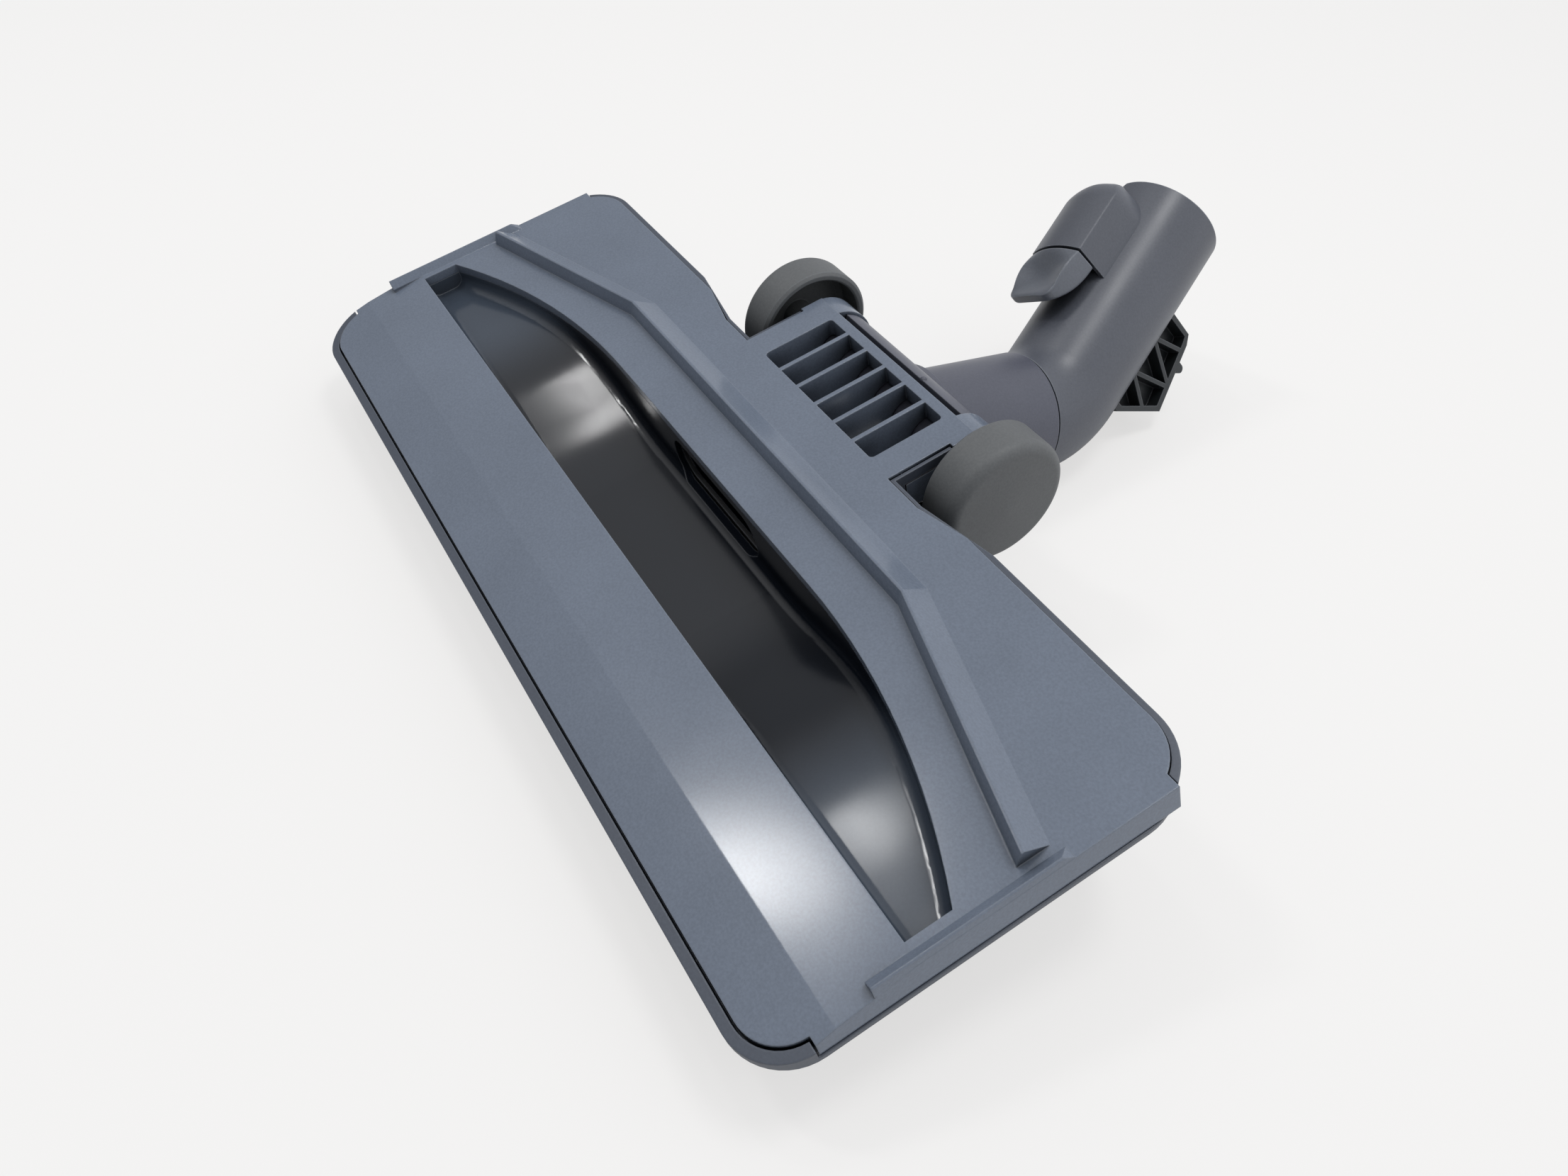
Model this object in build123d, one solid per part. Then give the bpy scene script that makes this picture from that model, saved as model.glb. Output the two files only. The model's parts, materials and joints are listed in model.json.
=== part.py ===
from build123d import *
from math import cos, radians, sin
import os

# Canister vacuum floor head, 32 mm wand size, lying upside down as it is put down to be cleaned.
# It is drawn sole up in the head's own frame: X across the head, Y from the front edge to the neck,
# Z up out of the sole, with the origin on the sole at the middle of the suction channel.
# At the end everything is laid on the floor: it rests on the casing's front edge and on the wand socket's rim.

# ---- driving dimensions, in mm ----
head_width = 276.0
front_y = -57.0
back_y = 47.0
casing_front_radius = 14.0
casing_back_radius = 16.0
casing_wall = 2.4
rim_width = 2.7
rim_back_width = 1.4
rim_step = 0.6              # the rim stands this far below the sole
rim_foot = -8.0             # where the upright rim ends and the underside slopes inwards
belly_inset = 12.0
belly_back_inset = 6.0
belly_depth = 28.5
part_gap = 0.3

crease_y = -39.5            # the front strip falls away in two planes, which meet here
crease_z = -2.0
front_z = -5.6
sole_thickness = 2.8
clip_front_y = -44.0
clip_back_y = 39.0
clip_depth = 6.2

channel_front_y = -21.0
channel_back_y = 9.3
channel_end_back_y = -10.3
channel_half = 131.6
channel_flat_half = 50.0
channel_end_depth = 7.5
channel_mid_depth = 20.0
channel_throat_half = 30.0
channel_ramp_half = 76.0
liner_wall = 1.8
liner_fillet = 3.0

tab_top_half = 136.5
tab_foot_half = 137.6
strip_inner_half = 133.6
strip_front_y = -31.0
strip_back_y = 14.0
strip_height = 2.0

ridge_height = 4.2
ridge_knee_x = 67.7
ridge_mid_y = 23.0
ridge_end_x = 131.8
ridge_end_y = 5.3
ridge_wall_run = 1.2
ridge_ramp_run = 6.6

bridge_half = 35.7
bridge_back_y = 67.3
notch_front_y = 43.2
notch_bend_x = 46.6
notch_end_x = 69.0
lip_width = 0.9
lip_gap = 0.4
lip_back_y = 60.0
lip_depth = 3.7

grille_half = 26.0
grille_front_y = 42.6
grille_back_y = 64.3
grille_depth = 9.0
grille_wall = 1.6
fin_count = 5
fin_thickness = 1.3

axle_y = 64.9
axle_z = -11.9
axle_radius = 2.0
axle_half = 49.0
run_clearance = 0.05
cheek_inner_x = 27.2
bush_radius = 3.4

wheel_radius = 17.6
wheel_inner_x = 38.9
wheel_outer_x = 51.2
wheel_dome = 0.7
wheel_shoulder = 3.0
wheel_wall = 2.4
wheel_hub_radius = 4.6

neck_pitch = -20.8          # the neck tube's slope in this pose; its hinge is the wheel axle
tube_drop = 15.4            # the tube's centre line passes this far under the axle
neck_radius = 18.8
neck_bore = 16.2
neck_start = 7.0
seam_at = 50.7
seam_gap = 0.5
sleeve_radius = 6.3
hood_radius = 11.2
hood_half = 26.6
hood_front = 0.9
collar_radius = 21.0
collar_start = 1.0
collar_end = 13.0
mouth_width = 37.0
mouth_height = 21.0
mouth_drop = 20.0
mouth_wall = 1.6

port_y = 30.6
port_z = -26.6
port_width = 44.0
port_height = 22.0
duct_start_y = 11.1
duct_start_z = -12.4
duct_start_width = 44.0
neck_opening_front = 31.8
duct_start_height = 14.0
duct_wall = 1.6

elbow_radius = 18.3
elbow_bore = 15.0
bend_radius = 27.5
bend_angle = 41.9
swivel_angle = -29.9        # how far the elbow is turned about the neck tube in this pose
socket_length = 63.3
socket_bore = 16.1
socket_depth = 46.0
spigot_radius = 17.14
spigot_length = 14.0
spigot_seat = 17.2

latch_front = -4.2
latch_seam = -36.3
latch_crest = 27.8
latch_top = 30.0
latch_half_top = 10.0
latch_half_foot = 10.6
latch_wall = 2.0
latch_edge = 1.5
latch_nose_roll = 7.0
button_gap = 0.6
button_travel = 6.0
button_tip = -53.5
button_tip_half = 6.5
button_tip_low = 25.3
pin_radius = 1.2
pin_y = -33.0
pin_z = 22.6
pin_half = 9.4

hook_front = -19.7
hook_back = -57.8
hook_knee = -46.0
hook_half = 5.2
hook_outer_front = -30.9
hook_outer_back = -35.7
hook_plate = 1.8
hook_rib = 1.4

rest_tilt = 13.05           # the sole's slope when the head lies on its casing and on the socket's rim


def plate(sketch, low, high):
    """A sketch in the sole's plane made into a slab from z = low to z = high."""
    return Pos(0, 0, low) * extrude(sketch, high - low)


def across(points, half, x_mid=0.0):
    """A side-view outline, given as (y, z) points, made into a solid across the head."""
    face = make_face(Polyline(*[(0, y, z) for y, z in points], close=True))
    return Pos(x_mid, 0, 0) * extrude(face, half, dir=(1, 0, 0), both=True)


def lengthwise(points, y_low, y_high):
    """A front-view outline, given as (x, z) points, made into a solid along Y."""
    face = make_face(Polyline(*[(x, y_low, z) for x, z in points], close=True))
    return extrude(face, y_high - y_low, dir=(0, 1, 0))


def rod(radius, x_low, x_high, y=0.0, z=0.0):
    """A round bar lying along X."""
    return Pos((x_low + x_high) / 2, y, z) * Rot(0, 90, 0) * Cylinder(radius, x_high - x_low)


def pipe(radius, y_low, y_high, z=0.0):
    """A round bar lying along Y."""
    return Pos(0, (y_low + y_high) / 2, z) * Rot(90, 0, 0) * Cylinder(radius, y_high - y_low)


def turned(points):
    """A half outline of (radius, y) points revolved about the Y axis."""
    return revolve(make_face(Polyline(*[(r, y, 0) for r, y in points], close=True)), Axis.Y)


def both_sides(shape):
    return shape + mirror(shape, Plane.YZ)


# ---- head outline and the notches for the wheels ----
def head_outline(inset, back_inset=None):
    """The head's plan, brought in by an even amount, or by less at the back."""
    half = head_width / 2 - inset
    low, high = front_y + inset, back_y - (inset if back_inset is None else back_inset)
    block = Pos(0, (low + high) / 2) * Rectangle(2 * half, high - low)
    block = fillet(block.vertices().sort_by(Axis.Y)[:2], max(casing_front_radius - inset, 5))
    return fillet(block.vertices().sort_by(Axis.Y)[-2:], max(casing_back_radius - inset, 5))


def along_sole(high, low):
    """A slab that follows the sole's surface, flat behind and falling away in front."""
    slope = (front_z - crease_z) / (front_y - crease_y)
    line = [(front_y - 5, front_z - 5 * slope), (crease_y, crease_z), (channel_front_y, 0), (90, 0)]
    return across([(y, z + high) for y, z in line] + [(y, z + low) for y, z in reversed(line)], 200)


def wheel_notches(inset):
    """The shallow cut-outs in the back edge, in front of the two wheels."""
    front = notch_front_y + inset
    outline = Polyline((bridge_half + inset, front), (notch_bend_x, front), (notch_end_x, back_y),
                       (notch_end_x, back_y + 30), (bridge_half + inset, back_y + 30), close=True)
    return both_sides(make_face(outline))


# ---- sole plate ----
def channel_outline(margin):
    """The lens-shaped suction channel: straight in front, bowed at the back."""
    half = channel_half + margin
    front, back = channel_front_y - margin, channel_back_y + margin
    end_back = channel_end_back_y + margin
    edges = [
        Line((-half, front), (half, front)),
        Line((half, front), (half, end_back)),
        TangentArc((channel_flat_half, back), (half, end_back), tangent=(1, 0)),
        Line((channel_flat_half, back), (-channel_flat_half, back)),
        TangentArc((-channel_flat_half, back), (-half, end_back), tangent=(-1, 0)),
        Line((-half, end_back), (-half, front)),
    ]
    return make_face(Wire(edges))


def ridge():
    """The kneed rib behind the channel: a steep front wall and a ramp behind it."""
    def slab(lift, behind):
        shift = ridge_wall_run * lift
        front = [(-ridge_end_x, ridge_end_y), (-ridge_knee_x, ridge_mid_y),
                 (ridge_knee_x, ridge_mid_y), (ridge_end_x, ridge_end_y)]
        line = [(x, y - ridge_wall_run + shift) for x, y in front]
        rear = [(x, y + behind) for x, y in reversed(front)]
        return Plane.XY.offset(lift * ridge_height) * make_face(Polyline(*line, *rear, close=True))
    return loft([slab(0.0, ridge_ramp_run), slab(1.0, 0.7)])


def sole_plate():
    panel = head_outline(rim_width + part_gap, rim_back_width + part_gap)
    tab_mid, tab_run = (clip_front_y + clip_back_y) / 2, clip_back_y - clip_front_y
    tabs = Pos(0, tab_mid) * RectangleRounded(2 * tab_top_half, tab_run, 1.5)
    bridge = Pos(0, (40 + bridge_back_y) / 2) * Rectangle(2 * bridge_half, bridge_back_y - 40)
    body = along_sole(0, -sole_thickness) & plate(panel + tabs - wheel_notches(0) + bridge, -20, 5)

    # end tabs, whose outer faces lean out, with a wedge-shaped band along each
    lean = (tab_foot_half - tab_top_half) / clip_depth
    skirt = lengthwise([(tab_top_half - 2.4, 0), (tab_top_half, 0), (tab_foot_half, -clip_depth),
                        (tab_foot_half - 2.2, -clip_depth)], clip_front_y, clip_back_y)
    skirt -= along_sole(20, 0)
    band = lengthwise([(strip_inner_half, -1), (strip_inner_half, 0), (tab_top_half - lean * strip_height - 0.4,
                       strip_height), (tab_top_half - lean * strip_height, strip_height - 0.3),
                       (tab_top_half + lean, -1)], strip_front_y, strip_back_y)
    band -= across([(strip_back_y - 2.5, strip_height), (strip_back_y, 0.2), (strip_back_y + 1, 0.2),
                    (strip_back_y + 1, 9), (strip_back_y - 2.5, 9)], 200)
    body += both_sides(skirt + band)
    body += ridge()
    body -= plate(channel_outline(0), -20, 20)

    # cheeks that hold the axle, tangent to the sole
    cheek = across([(46, 0), (axle_y, 0), (axle_y, axle_z - 4), (46, axle_z)],
                   (bridge_half - cheek_inner_x) / 2, (bridge_half + cheek_inner_x) / 2)
    cheek += rod(-axle_z, cheek_inner_x, bridge_half, axle_y, axle_z)
    body += both_sides(cheek)
    lip_room = wheel_notches(-lip_width - lip_gap) & Pos(0, lip_back_y - 39.6) * Rectangle(200, 80)
    body -= plate(lip_room, -lip_depth - 0.3, 5)

    # grille over the neck hinge: a deep frame with thin fins cut round the hinge sleeve
    outer_half = grille_half + grille_wall
    frame = Pos(0, (grille_front_y - grille_wall + bridge_back_y) / 2, -grille_depth / 2) * Box(
        2 * min(outer_half, cheek_inner_x), bridge_back_y - grille_front_y + grille_wall, grille_depth)
    opening = Pos(0, (grille_front_y + grille_back_y) / 2) * RectangleRounded(
        2 * grille_half, grille_back_y - grille_front_y, 1.2)
    pitch = (2 * grille_half + fin_thickness) / (fin_count + 1)
    for step in range(fin_count):
        fin_x = (step - (fin_count - 1) / 2) * pitch
        opening -= Pos(fin_x, (grille_front_y + grille_back_y) / 2) * Rectangle(fin_thickness, 40)
    body += frame
    body -= plate(opening, -grille_depth - 20, 5)
    body -= rod(sleeve_radius + 0.6, -cheek_inner_x, cheek_inner_x, axle_y, axle_z)
    body -= rod(bush_radius, -bridge_half - 1, bridge_half + 1, axle_y, axle_z)
    return body


# ---- upper casing ----
def hump(margin, y_low, y_high):
    """The rounded spine over the suction duct, with a sloping nose."""
    half = port_width / 2 + margin
    low = port_z - port_height / 2 - margin
    block = across([(y_low, 0), (y_low, low + 20), (y_low + 16, low), (y_high, low), (y_high, 0)], half)
    return fillet(block.edges().filter_by(Axis.Y).group_by(Axis.Z)[0], 4.7 + margin)


def upper_casing():
    outer = plate(head_outline(0), rim_foot, 0)
    outer += loft([Pos(0, 0, rim_foot) * head_outline(0),
                   Pos(0, 0, -belly_depth) * head_outline(belly_inset, belly_back_inset)])
    outer = fillet(outer.edges().group_by(Axis.Z)[0], 2.5)
    inner = plate(head_outline(casing_wall), rim_foot + 0.6, 1)
    inner += loft([Pos(0, 0, rim_foot + 0.6) * head_outline(casing_wall),
                   Pos(0, 0, casing_wall - belly_depth) * head_outline(belly_inset + casing_wall,
                                                                       belly_back_inset + casing_wall)])
    shell = outer + hump(4.3, 0, back_y - 0.01)
    shell -= inner + hump(4.3 - casing_wall, casing_wall, back_y - casing_wall)
    shell -= plate(wheel_notches(-0.1), -60, 5)
    shell -= along_sole(20, -rim_step)

    # the sole's seat: the rim is open for the end clips
    seat = head_outline(rim_width, rim_back_width)
    shell -= plate(seat, -20, 5) & along_sole(5, -sole_thickness - part_gap)
    clip_slot = Pos(0, (clip_front_y + clip_back_y) / 2, 0) * Box(
        head_width + 2, clip_back_y - clip_front_y + 1, 2 * (clip_depth + part_gap))
    shell -= clip_slot

    # walls behind the wheel notches
    notch_wall = wheel_notches(-casing_wall) & head_outline(casing_wall - 0.1)
    notch_wall -= wheel_notches(0)
    shell += plate(notch_wall, -belly_depth, -sole_thickness - part_gap) & outer

    # room for the sole's cheeks, and the fork under them that closes the axle seats
    cheek_room = across([(45.7, 1), (axle_y + 20, 1), (axle_y + 20, axle_z - 4.3), (axle_y, axle_z - 4.3),
                         (45.7, axle_z - 0.3)], bridge_half + part_gap)
    shell -= cheek_room
    arm_half = (bridge_half - cheek_inner_x) / 2
    arm_mid = (bridge_half + cheek_inner_x) / 2
    arm = across([(35, axle_z - 4.5), (44, axle_z - 4.5), (axle_y, axle_z), (axle_y, 2 * axle_z - 2.6),
                  (44, -belly_depth + 2.5), (35, -belly_depth + 1)],
                 arm_half, arm_mid)
    arm += rod(-axle_z + 2.6, cheek_inner_x, bridge_half, axle_y, axle_z)
    arm -= rod(-axle_z + 0.2, 0, 60, axle_y, axle_z)
    arm -= Pos(arm_mid, axle_y, 20 + axle_z) * Box(30, 60, 40)
    arm -= cheek_room
    shell += both_sides(arm)

    # a thin lip that stands up beside the sole, round two sides of each wheel notch
    lip = (wheel_notches(-lip_width) - wheel_notches(0)) & Pos(0, lip_back_y - 40) * Rectangle(130, 80)
    shell += plate(lip, -lip_depth, -rim_step)

    # open back for the neck to swing
    shell -= Pos(0, neck_opening_front + 25, -30) * Box(2 * (collar_radius + 1.2), 50, 60)
    shell -= Pos(0, 60, -grille_depth) * Box(2 * cheek_inner_x, 44, 2 * (grille_depth + 1))
    return shell


# ---- air path inside the head ----
def tray(margin):
    """The channel's inside: shallow at both ends, falling smoothly to the throat in the middle."""
    half = channel_half + margin
    deep, shallow = channel_mid_depth + margin, channel_end_depth + margin
    def ramp(side):
        return Spline((side * half, 0, -shallow), (side * channel_ramp_half, 0, -shallow - 2),
                      (side * channel_throat_half, 0, -deep), tangents=[(-side, 0, -0.02), (-side, 0, 0)])
    face = make_face(Wire([
        Line((-half, 0, 1), (half, 0, 1)),
        Line((half, 0, 1), (half, 0, -shallow)),
        ramp(1),
        Line((channel_throat_half, 0, -deep), (-channel_throat_half, 0, -deep)),
        ramp(-1),
        Line((-half, 0, -shallow), (-half, 0, 1)),
    ]))
    body = extrude(face, 60, dir=(0, 1, 0), both=True) & plate(channel_outline(margin), -40, 1)
    floor = [edge for edge in body.edges() if edge.center().Z < -shallow - 0.1]
    return fillet(floor, liner_fillet + margin)


def channel_liner():
    body = tray(liner_wall) - tray(0.0)
    body -= along_sole(20, -sole_thickness - 0.02)
    body -= throat(0.0)
    return body


def duct_section(y, z, width, height, margin):
    return Pos(0, y, z) * Rot(90, 0, 0) * RectangleRounded(width + 2 * margin, height + 2 * margin, 6 + margin)


def throat(margin):
    return loft([duct_section(duct_start_y - 6, duct_start_z, duct_start_width, duct_start_height, margin),
                 duct_section(duct_start_y, duct_start_z, duct_start_width, duct_start_height, margin)])


def suction_duct():
    def duct(margin, start):
        return loft([duct_section(start, duct_start_z, duct_start_width, duct_start_height, margin),
                     duct_section(port_y + (0 if margin else 1), port_z, port_width, port_height, margin)])
    return duct(duct_wall, duct_start_y + 1.2) - duct(0, duct_start_y + 1.1)


def duct_gasket():
    outer = duct_section(duct_start_y + 1.2, duct_start_z, duct_start_width, duct_start_height, duct_wall)
    hole = duct_section(duct_start_y + 1.2, duct_start_z, duct_start_width, duct_start_height, 0)
    return extrude(outer - hole, 1.2, dir=(0, -1, 0))


def neck_bellows():
    """The soft cuff between the duct's port and the neck's mouth."""
    def cuff(margin, past):
        near = duct_section(port_y - past, port_z, port_width, port_height, margin)
        far = neck_place * Pos(0, -3.0 + past, -mouth_drop) * Rot(90, 0, 0) * RectangleRounded(
            mouth_width + 2 * margin, mouth_height + 2 * margin, 6 + margin)
        return loft([near, far])
    return cuff(duct_wall, -0.01) - cuff(0.0, 0.3)


# ---- axle and wheels ----
def wheel():
    """Right-hand wheel: a cup, open towards the head, on a hub with a blind bore."""
    inner, outer = wheel_inner_x, wheel_outer_x
    r = wheel_radius
    s = wheel_shoulder
    profile = Wire([
        Line((axle_radius + run_clearance, inner), (wheel_hub_radius, inner)),
        Line((wheel_hub_radius, inner), (wheel_hub_radius, outer - wheel_wall)),
        Line((wheel_hub_radius, outer - wheel_wall), (r - wheel_wall - 1.5, outer - wheel_wall)),
        Line((r - wheel_wall - 1.5, outer - wheel_wall), (r - wheel_wall, outer - wheel_wall - 1.5)),
        Line((r - wheel_wall, outer - wheel_wall - 1.5), (r - wheel_wall, inner + 0.5)),
        Line((r - wheel_wall, inner + 0.5), (r - wheel_wall + 0.5, inner)),
        Line((r - wheel_wall + 0.5, inner), (r - 0.8, inner)),
        Line((r - 0.8, inner), (r, inner + 0.8)),
        Line((r, inner + 0.8), (r, outer - s)),
        TangentArc((r, outer - s), (r - s, outer), tangent=(0, 1)),
        Line((r - s, outer), (0, outer + wheel_dome)),
        Line((0, outer + wheel_dome), (0, axle_half + 0.2)),
        Line((0, axle_half + 0.2), (axle_radius + run_clearance, axle_half + 0.2)),
        Line((axle_radius + run_clearance, axle_half + 0.2), (axle_radius + run_clearance, inner)),
    ])
    body = revolve(make_face(profile), Axis.Y)
    return Pos(0, axle_y, axle_z) * Rot(0, 0, -90) * body


def axle_bushes():
    bush = rod(bush_radius, cheek_inner_x, bridge_half, axle_y, axle_z)
    bush -= rod(axle_radius, 0, 60, axle_y, axle_z)
    return both_sides(bush)


def wheel_washers():
    washer = rod(4.4, bridge_half + 0.3, wheel_inner_x - 0.4, axle_y, axle_z)
    washer -= rod(axle_radius + run_clearance, 0, 60, axle_y, axle_z)
    return both_sides(washer)


# ---- neck, drawn in its own frame: origin on the axle, Y along the tube ----
neck_place = Pos(0, axle_y, axle_z) * Rot(neck_pitch, 0, 0)


def neck_barrel():
    sleeve = rod(sleeve_radius, -hood_half, hood_half)
    hood = rod(hood_radius, -hood_half, hood_half)
    hood -= Pos(0, hood_front - 50, 0) * Box(200, 100, 100)
    hood -= Pos(0, 0, -50 - 4) * Box(200, 100, 100)
    collar = pipe(collar_radius, collar_start, collar_end, -tube_drop)
    body = hood + collar
    funnel = loft([Pos(0, collar_start - 4.1, -mouth_drop) * Rot(90, 0, 0) * RectangleRounded(
                       mouth_width - 2 * mouth_wall, mouth_height - 2 * mouth_wall, 4.4),
                   Pos(0, neck_start, -tube_drop) * Rot(90, 0, 0) * Circle(neck_bore)])
    snout = loft([Pos(0, collar_start - 4, -mouth_drop) * Rot(90, 0, 0) * RectangleRounded(
                      mouth_width, mouth_height, 6),
                  Pos(0, collar_start + 1, -tube_drop) * Rot(90, 0, 0) * Circle(collar_radius)])
    body += snout
    body += sleeve
    body -= funnel - rod(sleeve_radius, -hood_half, hood_half)
    body -= pipe(neck_radius, neck_start, collar_end + 1, -tube_drop)
    groove = pipe(collar_radius - 0.9, collar_end - 1.6, collar_end + 1, -tube_drop)
    groove -= Pos(0, collar_end, 5) * Box(4, 10, 10)
    body -= groove
    body -= rod(axle_radius + run_clearance, -60, 60)
    body += Rot(-9, 0, 0) * Pos(9, 0, hood_radius - 0.3) * Sphere(1.0)
    return body


def neck_tube():
    ring_seat = seam_at - 10.5
    outline = [
        (neck_bore, neck_start), (neck_radius, neck_start), (neck_radius, seam_at - 0.6),
        (neck_radius - 0.5, seam_at), (spigot_seat, seam_at), (spigot_seat, ring_seat + 2.2),
        (spigot_seat + 0.7, ring_seat + 2.2), (spigot_seat + 0.7, ring_seat), (spigot_seat, ring_seat),
        (spigot_seat, seam_at - spigot_length - 0.5), (neck_bore, seam_at - spigot_length - 1.5),
    ]
    return Pos(0, 0, -tube_drop) * turned(outline)


# ---- elbow, drawn with its origin at the seam, Y along the neck, bending towards Z ----
elbow_place = neck_place * Pos(0, seam_at + seam_gap, -tube_drop) * Rot(0, swivel_angle, 0)
bend_end_y = bend_radius * sin(radians(bend_angle))
bend_end_z = bend_radius * (1 - cos(radians(bend_angle)))
socket_place = elbow_place * Pos(0, bend_end_y, bend_end_z) * Rot(bend_angle, 0, 0) * Pos(0, socket_length, 0)


def bend(radius):
    """The curved stretch: a disc carried round the bend's centre."""
    disc = Rot(90, 0, 0) * Circle(radius)
    return revolve(disc, Axis((0, 0, bend_radius), (1, 0, 0)), bend_angle)


def in_socket(shape):
    """A piece drawn in the socket's frame, brought into the elbow's frame."""
    return Pos(0, bend_end_y, bend_end_z) * Rot(bend_angle, 0, 0) * Pos(0, socket_length, 0) * shape


def elbow_tube():
    body = bend(elbow_radius)
    body += in_socket(pipe(elbow_radius, -socket_length, 0))
    body += pipe(spigot_radius, -spigot_length - seam_gap, 0)
    ring_seat = -10.5 - seam_gap
    body -= pipe(30, ring_seat, ring_seat + 2.2) - pipe(spigot_radius - 0.9, ring_seat, ring_seat + 2.2)
    seal_seat = -5.5
    body -= pipe(30, seal_seat, seal_seat + 1.8) - pipe(spigot_radius - 1.0, seal_seat, seal_seat + 1.8)
    bore = bend(elbow_bore) + pipe(elbow_bore, -spigot_length - 2, 0)
    bore += in_socket(pipe(elbow_bore, -socket_length, 1) + pipe(socket_bore, -socket_depth, 1))
    body -= bore
    body -= in_socket(pipe(socket_bore + 0.7, -socket_depth, -socket_depth + 2.2))
    window = Pos(0, -22.5, 18) * Box(9, 8, 8)
    body -= in_socket(window)
    witness_notch = Pos(-3.4, 0, elbow_radius) * Rot(0, 0, 45) * Box(2.1, 2.1, 8)
    return body - in_socket(witness_notch)


def swivel_ring():
    ring_seat = -10.5 - seam_gap
    ring = pipe(spigot_seat + 0.55, ring_seat + 0.2, ring_seat + 2.0)
    return ring - pipe(spigot_radius - 0.9, ring_seat, ring_seat + 3) - Pos(0, 0, 15) * Box(5, 60, 20)


def swivel_seal():
    ring = pipe(spigot_seat - 0.02, -5.4, -3.8)
    return ring - pipe(spigot_radius - 1.0, -6, -3)


def socket_seal():
    ring = pipe(socket_bore + 0.7, -socket_depth, -socket_depth + 2.2)
    return ring - pipe(socket_bore - 0.2, -socket_depth - 1, -socket_depth + 3)


# ---- latch, drawn in the socket's frame: origin at the mouth, Z towards the latch ----
def latch_block(margin):
    """The latch's outer form: round-nosed in plan, with flat sides and a crowned top."""
    half_top, half_foot = latch_half_top - margin, latch_half_foot - margin
    crest, top = latch_crest - margin, latch_top - margin
    section = make_face(Wire([
        Line((-half_foot, 8), (half_foot, 8)),
        Line((half_foot, 8), (half_top, crest)),
        ThreePointArc((half_top, crest), (0, top), (-half_top, crest)),
        Line((-half_top, crest), (-half_foot, 8)),
    ]))
    nose = latch_front - margin
    plan = make_face(Wire([
        Line((-half_foot, -70), (-half_foot, nose - half_foot)),
        ThreePointArc((-half_foot, nose - half_foot), (0, nose), (half_foot, nose - half_foot)),
        Line((half_foot, nose - half_foot), (half_foot, -70)),
        Line((half_foot, -70), (-half_foot, -70)),
    ]))
    body = extrude(Rot(90, 0, 0) * section, 70, dir=(0, -1, 0)) & plate(plan, 7, 40)
    brow = [edge for edge in body.edges() if edge.center().Z > crest - 0.5 and edge.center().Y > -60]
    body = fillet(brow, latch_edge)
    roll = latch_nose_roll - margin
    side = make_face(Wire([
        Line((0, nose - roll, top), (0, -70, top)),
        Line((0, -70, top), (0, -70, 8)),
        Line((0, -70, 8), (0, nose, 8)),
        Line((0, nose, 8), (0, nose, top - roll)),
        TangentArc((0, nose, top - roll), (0, nose - roll, top), tangent=(0, 0, 1)),
    ]))
    return body & extrude(side, 20, dir=(1, 0, 0), both=True)


def latch_housing():
    behind_seam = Pos(0, latch_seam - 50, 20) * Box(60, 100, 60)
    body = latch_block(0) - latch_block(latch_wall) - behind_seam
    body -= pipe(elbow_radius, -70, 5)
    lugs = rod(2.6, -9, 9, pin_y, pin_z) - rod(4, -7.4, 7.4, pin_y, pin_z)
    body += lugs
    return body - rod(pin_radius, -pin_half, pin_half, pin_y, pin_z)


def latch_button():
    """The press-button: a dished beak behind the seam, and an arm that carries the nose."""
    heel = latch_seam - button_gap
    side = [(heel, 40), (heel, 19.6), (heel - 1.5, 19.6), (button_tip, button_tip_low), (button_tip, 40)]
    taper = make_face(Wire([
        Line((-12, heel + 1), (12, heel + 1)),
        Line((12, heel + 1), (9.7, heel - 5)),
        ThreePointArc((9.7, heel - 5), (8.6, heel - 10.5), (button_tip_half, button_tip)),
        Line((button_tip_half, button_tip), (-button_tip_half, button_tip)),
        ThreePointArc((-button_tip_half, button_tip), (-8.6, heel - 10.5), (-9.7, heel - 5)),
        Line((-9.7, heel - 5), (-12, heel + 1)),
    ]))
    body = across(side, 20) & latch_block(0.1) & plate(taper, 5, 40)
    pressed_back = Pos(0, pin_y, pin_z) * Rot(-button_travel, 0, 0) * Pos(0, -pin_y, -pin_z)
    body &= pressed_back * (Pos(0, latch_seam - part_gap - 50, 20) * Box(60, 100, 60))
    body -= Pos(0, heel - 10.6, latch_top + 22.8) * Sphere(26)
    arm_front = -19.0
    arm = Pos(0, (arm_front + heel - 1) / 2, 22.2) * Box(13, arm_front - heel + 1, 3.6)
    arm += rod(2.8, -6.5, 6.5, pin_y, pin_z)
    nose = Pos(0, -22.0, 18.6) * Box(7, 5, 4.8)
    nose = chamfer(nose.edges().group_by(Axis.Z)[0].sort_by(Axis.Y)[-1], 2.0)
    body += arm + nose
    return body - rod(pin_radius + run_clearance, -20, 20, pin_y, pin_z)


def latch_pin():
    return rod(pin_radius, -pin_half, pin_half, pin_y, pin_z)


def latch_spring():
    """A steel leaf bent double, between the tube and the button's outer arm."""
    foot = elbow_radius
    leaf = [(-33.0, foot), (-39.0, foot), (-39.6, foot + 0.4), (-35.0, foot + 1.2), (-34.9, foot + 0.8),
            (-38.2, foot + 0.4), (-33.0, foot + 0.4)]
    return across(leaf, 2.5)


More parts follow.
